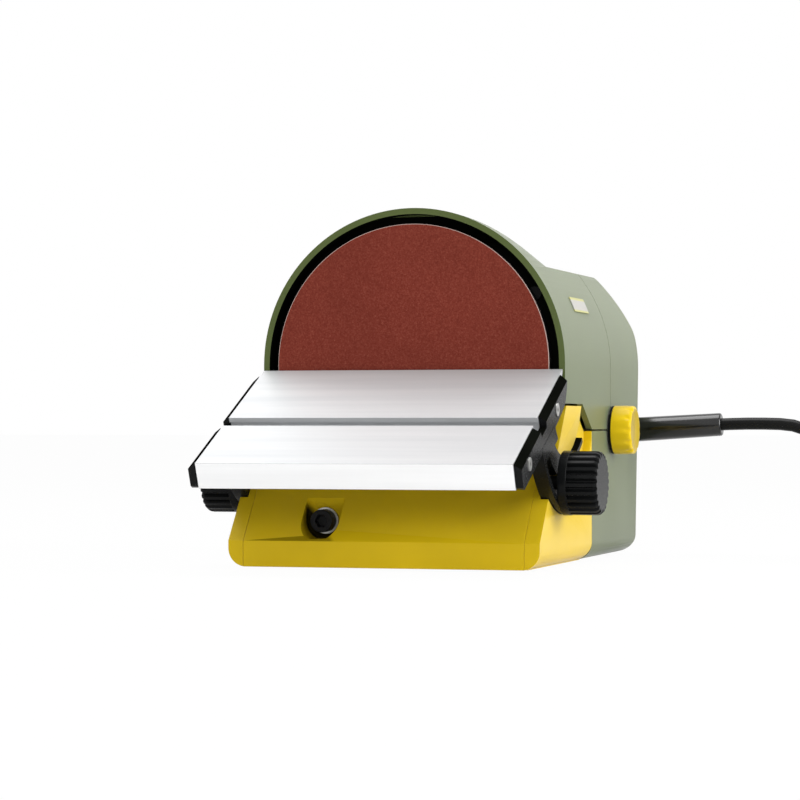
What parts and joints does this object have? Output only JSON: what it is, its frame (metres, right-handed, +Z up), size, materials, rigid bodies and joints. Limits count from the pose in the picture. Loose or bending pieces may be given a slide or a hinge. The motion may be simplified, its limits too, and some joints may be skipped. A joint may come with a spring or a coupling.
{
  "type": "benchtop disc sander",
  "caption": "Small benchtop disc sander with a green arched housing on a yellow base, a tilting aluminium table on slotted brackets, clamp knobs and a speed dial.",
  "frame": {"origin": "on the bench, under the middle of the machine with its dust port and tilted table and without its mains lead", "axes": "+X to the right as seen by the operator, +Y back from the disc towards the dust port, +Z up"},
  "size_m": [0.3621, 0.2759, 0.1596],
  "materials": {
    "yellow_shell": "satin moulded, warm yellow",
    "green_shell": "satin moulded, sage green",
    "black_plastic": "satin moulded",
    "black_rubber": "matte",
    "abrasive": "coarse red-brown grit",
    "table_aluminium": "fine satin",
    "cast_aluminium": "cast, matte",
    "steel": "zinc plated",
    "dark_steel": "black oxide",
    "bearing_steel": "polished",
    "copper": "bare copper",
    "brass": "turned",
    "carbon": "pressed carbon",
    "circuit_board": "lacquered",
    "label_white": "blank printed label"
  },
  "bodies": {
    "housing": {"base_body": "yellow_shell", "front_panel": "yellow_shell", "panel_bolt": "dark_steel", "panel_washer": "steel", "front_shell": "green_shell", "rear_shell": "green_shell", "shell_screws": "steel", "base_plate": "dark_steel", "base_screws": "steel", "rubber_feet": "black_rubber", "label_plate": "label_white", "bulkhead": "dark_steel", "bulkhead_screws": "dark_steel", "spindle_carrier": "cast_aluminium", "carrier_screws": "steel", "bearing_outer_rings": "bearing_steel", "bearing_balls": "bearing_steel", "drive_belt": "black_rubber", "chassis_posts": "steel", "motor_plate": "cast_aluminium", "motor_can": "steel", "motor_magnets": "dark_steel", "motor_end_bell": "black_plastic", "carbon_brushes": "carbon", "motor_screws": "steel", "dust_duct": "black_plastic", "control_board": "circuit_board", "potentiometer": "steel", "switch_body": "black_plastic", "cord_clamp": "black_plastic", "cord_clamp_screws": "steel", "strain_relief": "black_rubber", "cord_lead": "black_rubber", "cord_coil": "black_rubber", "plug_body": "black_plastic", "plug_pins": "brass", "clamp_inserts": "brass"},
    "disc": {"backing_disc": "dark_steel", "abrasive_disc": "abrasive", "hub_screw": "dark_steel", "spindle": "steel", "bearing_inner_rings": "bearing_steel", "driven_pulley": "cast_aluminium"},
    "motor_rotor": {"armature": "steel", "armature_coils": "copper", "commutator": "copper", "motor_shaft": "steel", "motor_fan": "black_plastic", "motor_pulley": "cast_aluminium"},
    "table": {"table_plate": "table_aluminium", "bracket_left": "black_plastic", "bracket_right": "black_plastic", "bracket_screws": "steel"},
    "clamp_knob_left": {"knob_left": "black_plastic", "stud_left": "steel"},
    "clamp_knob_right": {"knob_right": "black_plastic", "stud_right": "steel"},
    "dial": {"speed_dial": "yellow_shell", "potentiometer_shaft": "steel"},
    "rocker": {"switch_rocker": "black_plastic"}
  },
  "joints": [
    {"name": "disc_spin", "type": "hinge", "parent": "housing", "child": "disc", "pos_m": [0, -0.047, 0.09], "axis": [0, -1, 0], "continuous": true},
    {"name": "motor_spin", "type": "hinge", "parent": "housing", "child": "motor_rotor", "pos_m": [-0.037, 0.05, 0.096], "axis": [0, -1, 0], "continuous": true},
    {"name": "table_tilt", "type": "hinge", "parent": "housing", "child": "table", "pos_m": [0, -0.0484, 0.0875], "axis": [1, 0, 0], "range_deg": [-34.4, 25.6]},
    {"name": "clamp_left", "type": "hinge", "parent": "housing", "child": "clamp_knob_left", "pos_m": [-0.08, -0.062, 0.038], "axis": [-1, 0, 0], "range_deg": [0, 180]},
    {"name": "clamp_right", "type": "hinge", "parent": "housing", "child": "clamp_knob_right", "pos_m": [0.08, -0.062, 0.038], "axis": [1, 0, 0], "range_deg": [0, 180]},
    {"name": "speed_dial_turn", "type": "hinge", "parent": "housing", "child": "dial", "pos_m": [0.0765, 0.051, 0.0607], "axis": [1, 0, 0], "range_deg": [0, 270]},
    {"name": "power_rocker", "type": "hinge", "parent": "housing", "child": "rocker", "pos_m": [-0.0676, 0.065, 0.05], "axis": [0, 1, 0], "range_deg": [0, 16]}
  ],
  "couplings": [
    {"joint": "motor_spin", "follows": "disc_spin", "ratio": 3}
  ]
}
